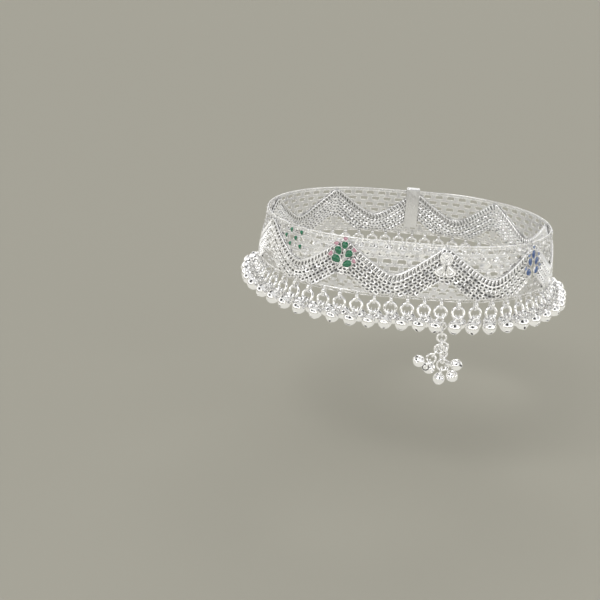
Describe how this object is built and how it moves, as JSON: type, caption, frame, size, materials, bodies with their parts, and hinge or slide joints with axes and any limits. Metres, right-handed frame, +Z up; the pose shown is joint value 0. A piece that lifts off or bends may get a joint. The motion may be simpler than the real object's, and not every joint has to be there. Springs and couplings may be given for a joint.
{
  "type": "anklet",
  "caption": "Wide woven silver anklet: open net with a dense wavy ribbon, enamelled leaf sprigs, and a fringe of round bells on jump rings with a short hanging tassel.",
  "frame": {"origin": "centre of the ankle opening, at mid height of the band", "axes": "+Z up along the leg, the front with the green sprig and the tassel faces -Y, the oval is longest along X"},
  "size_m": [0.1061, 0.0823, 0.0427],
  "materials": {
    "silver": "woven and soldered silver, lightly polished",
    "bright_silver": "mirror polished silver",
    "green_enamel": "glossy enamel",
    "pink_enamel": "glossy enamel",
    "blue_enamel": "glossy enamel",
    "sky_enamel": "glossy enamel"
  },
  "bodies": {
    "root": {"woven_band": "silver", "clasp": "silver", "jump_rings": "bright_silver", "outer_bells": "bright_silver", "inner_bells": "bright_silver", "tassel_links": "bright_silver", "tassel_bells": "bright_silver", "green_sprig_setting": "silver", "green_enamel_leaves": "green_enamel", "pink_enamel_tips": "pink_enamel", "blue_sprig_setting": "silver", "blue_enamel_leaves": "blue_enamel", "sky_enamel_tips": "sky_enamel", "net_enamel_leaves": "green_enamel", "trefoil_front": "silver", "trefoil_right": "silver", "trefoil_back_right": "silver", "trefoil_back_left": "silver", "trefoil_left": "silver"}
  },
  "joints": []
}
